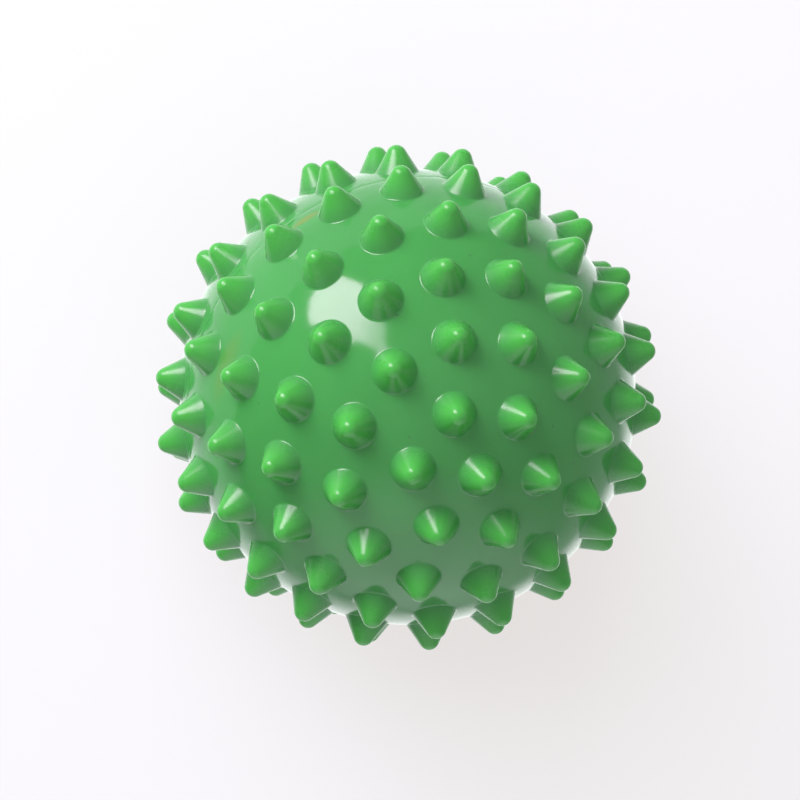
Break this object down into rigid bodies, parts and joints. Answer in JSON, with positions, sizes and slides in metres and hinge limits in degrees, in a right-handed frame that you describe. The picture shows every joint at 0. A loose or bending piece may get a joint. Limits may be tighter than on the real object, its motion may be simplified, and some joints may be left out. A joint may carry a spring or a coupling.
{
  "type": "massage ball",
  "caption": "Hollow spiky massage ball: two welded half shells with cone spikes in rings, a needle air valve and its push-in plug.",
  "frame": {"origin": "the centre of the ball's round body", "axes": "+Z along the mould axis, from the valve at the lower pole to the spike at the upper pole; -Y towards the side the ball is seen from"},
  "size_m": [0.0742, 0.0742, 0.0735],
  "materials": {
    "shell": "gloss",
    "valve": "satin",
    "plug": "satin"
  },
  "bodies": {
    "ball": {"upper_half": "shell", "lower_half": "shell", "valve_body": "valve"},
    "plug": {"valve_plug": "plug"}
  },
  "joints": [
    {"name": "plug_pull", "type": "slide", "parent": "ball", "child": "plug", "axis": [0, 0, -1], "range_m": [0, 0.045]}
  ]
}
